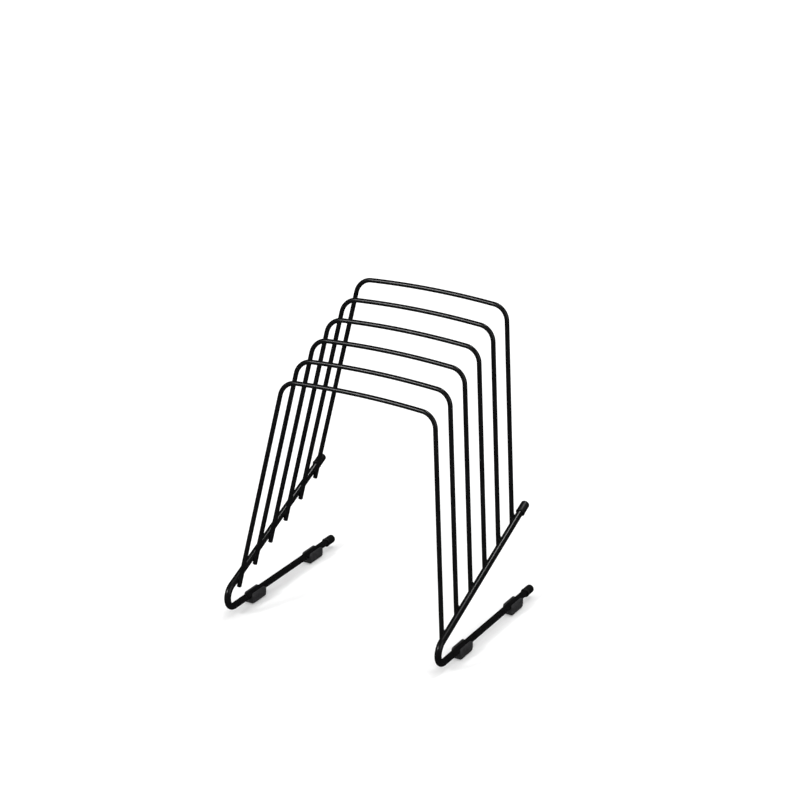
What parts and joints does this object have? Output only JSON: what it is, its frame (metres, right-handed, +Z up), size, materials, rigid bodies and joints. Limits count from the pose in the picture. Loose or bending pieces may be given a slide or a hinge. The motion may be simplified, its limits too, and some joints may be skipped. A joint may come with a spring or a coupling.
{
  "type": "wire step file rack",
  "caption": "Desktop inclined wire rack: inverted-U wire dividers step up two bent side rails on rubber feet and hold file folders upright in leaning slots.",
  "frame": {"origin": "middle of the footprint, on the desk surface that the four feet stand on", "axes": "+X to the right as seen from the front, +Y from the front bends to the back, +Z up"},
  "size_m": [0.185, 0.1626, 0.2386],
  "materials": {
    "coated_wire": "steel wire with a smooth black powder coat, semi-gloss",
    "foot_rubber": "moulded charcoal rubber, matt, very finely grained",
    "cap_vinyl": "dipped black vinyl, soft satin"
  },
  "bodies": {
    "root": {"left_side_rail": "coated_wire", "right_side_rail": "coated_wire", "divider_1": "coated_wire", "divider_2": "coated_wire", "divider_3": "coated_wire", "divider_4": "coated_wire", "divider_5": "coated_wire", "divider_6": "coated_wire", "foot_left_front": "foot_rubber", "foot_left_rear": "foot_rubber", "foot_right_front": "foot_rubber", "foot_right_rear": "foot_rubber", "base_cap_left": "cap_vinyl", "incline_cap_left": "cap_vinyl", "base_cap_right": "cap_vinyl", "incline_cap_right": "cap_vinyl"}
  },
  "joints": []
}
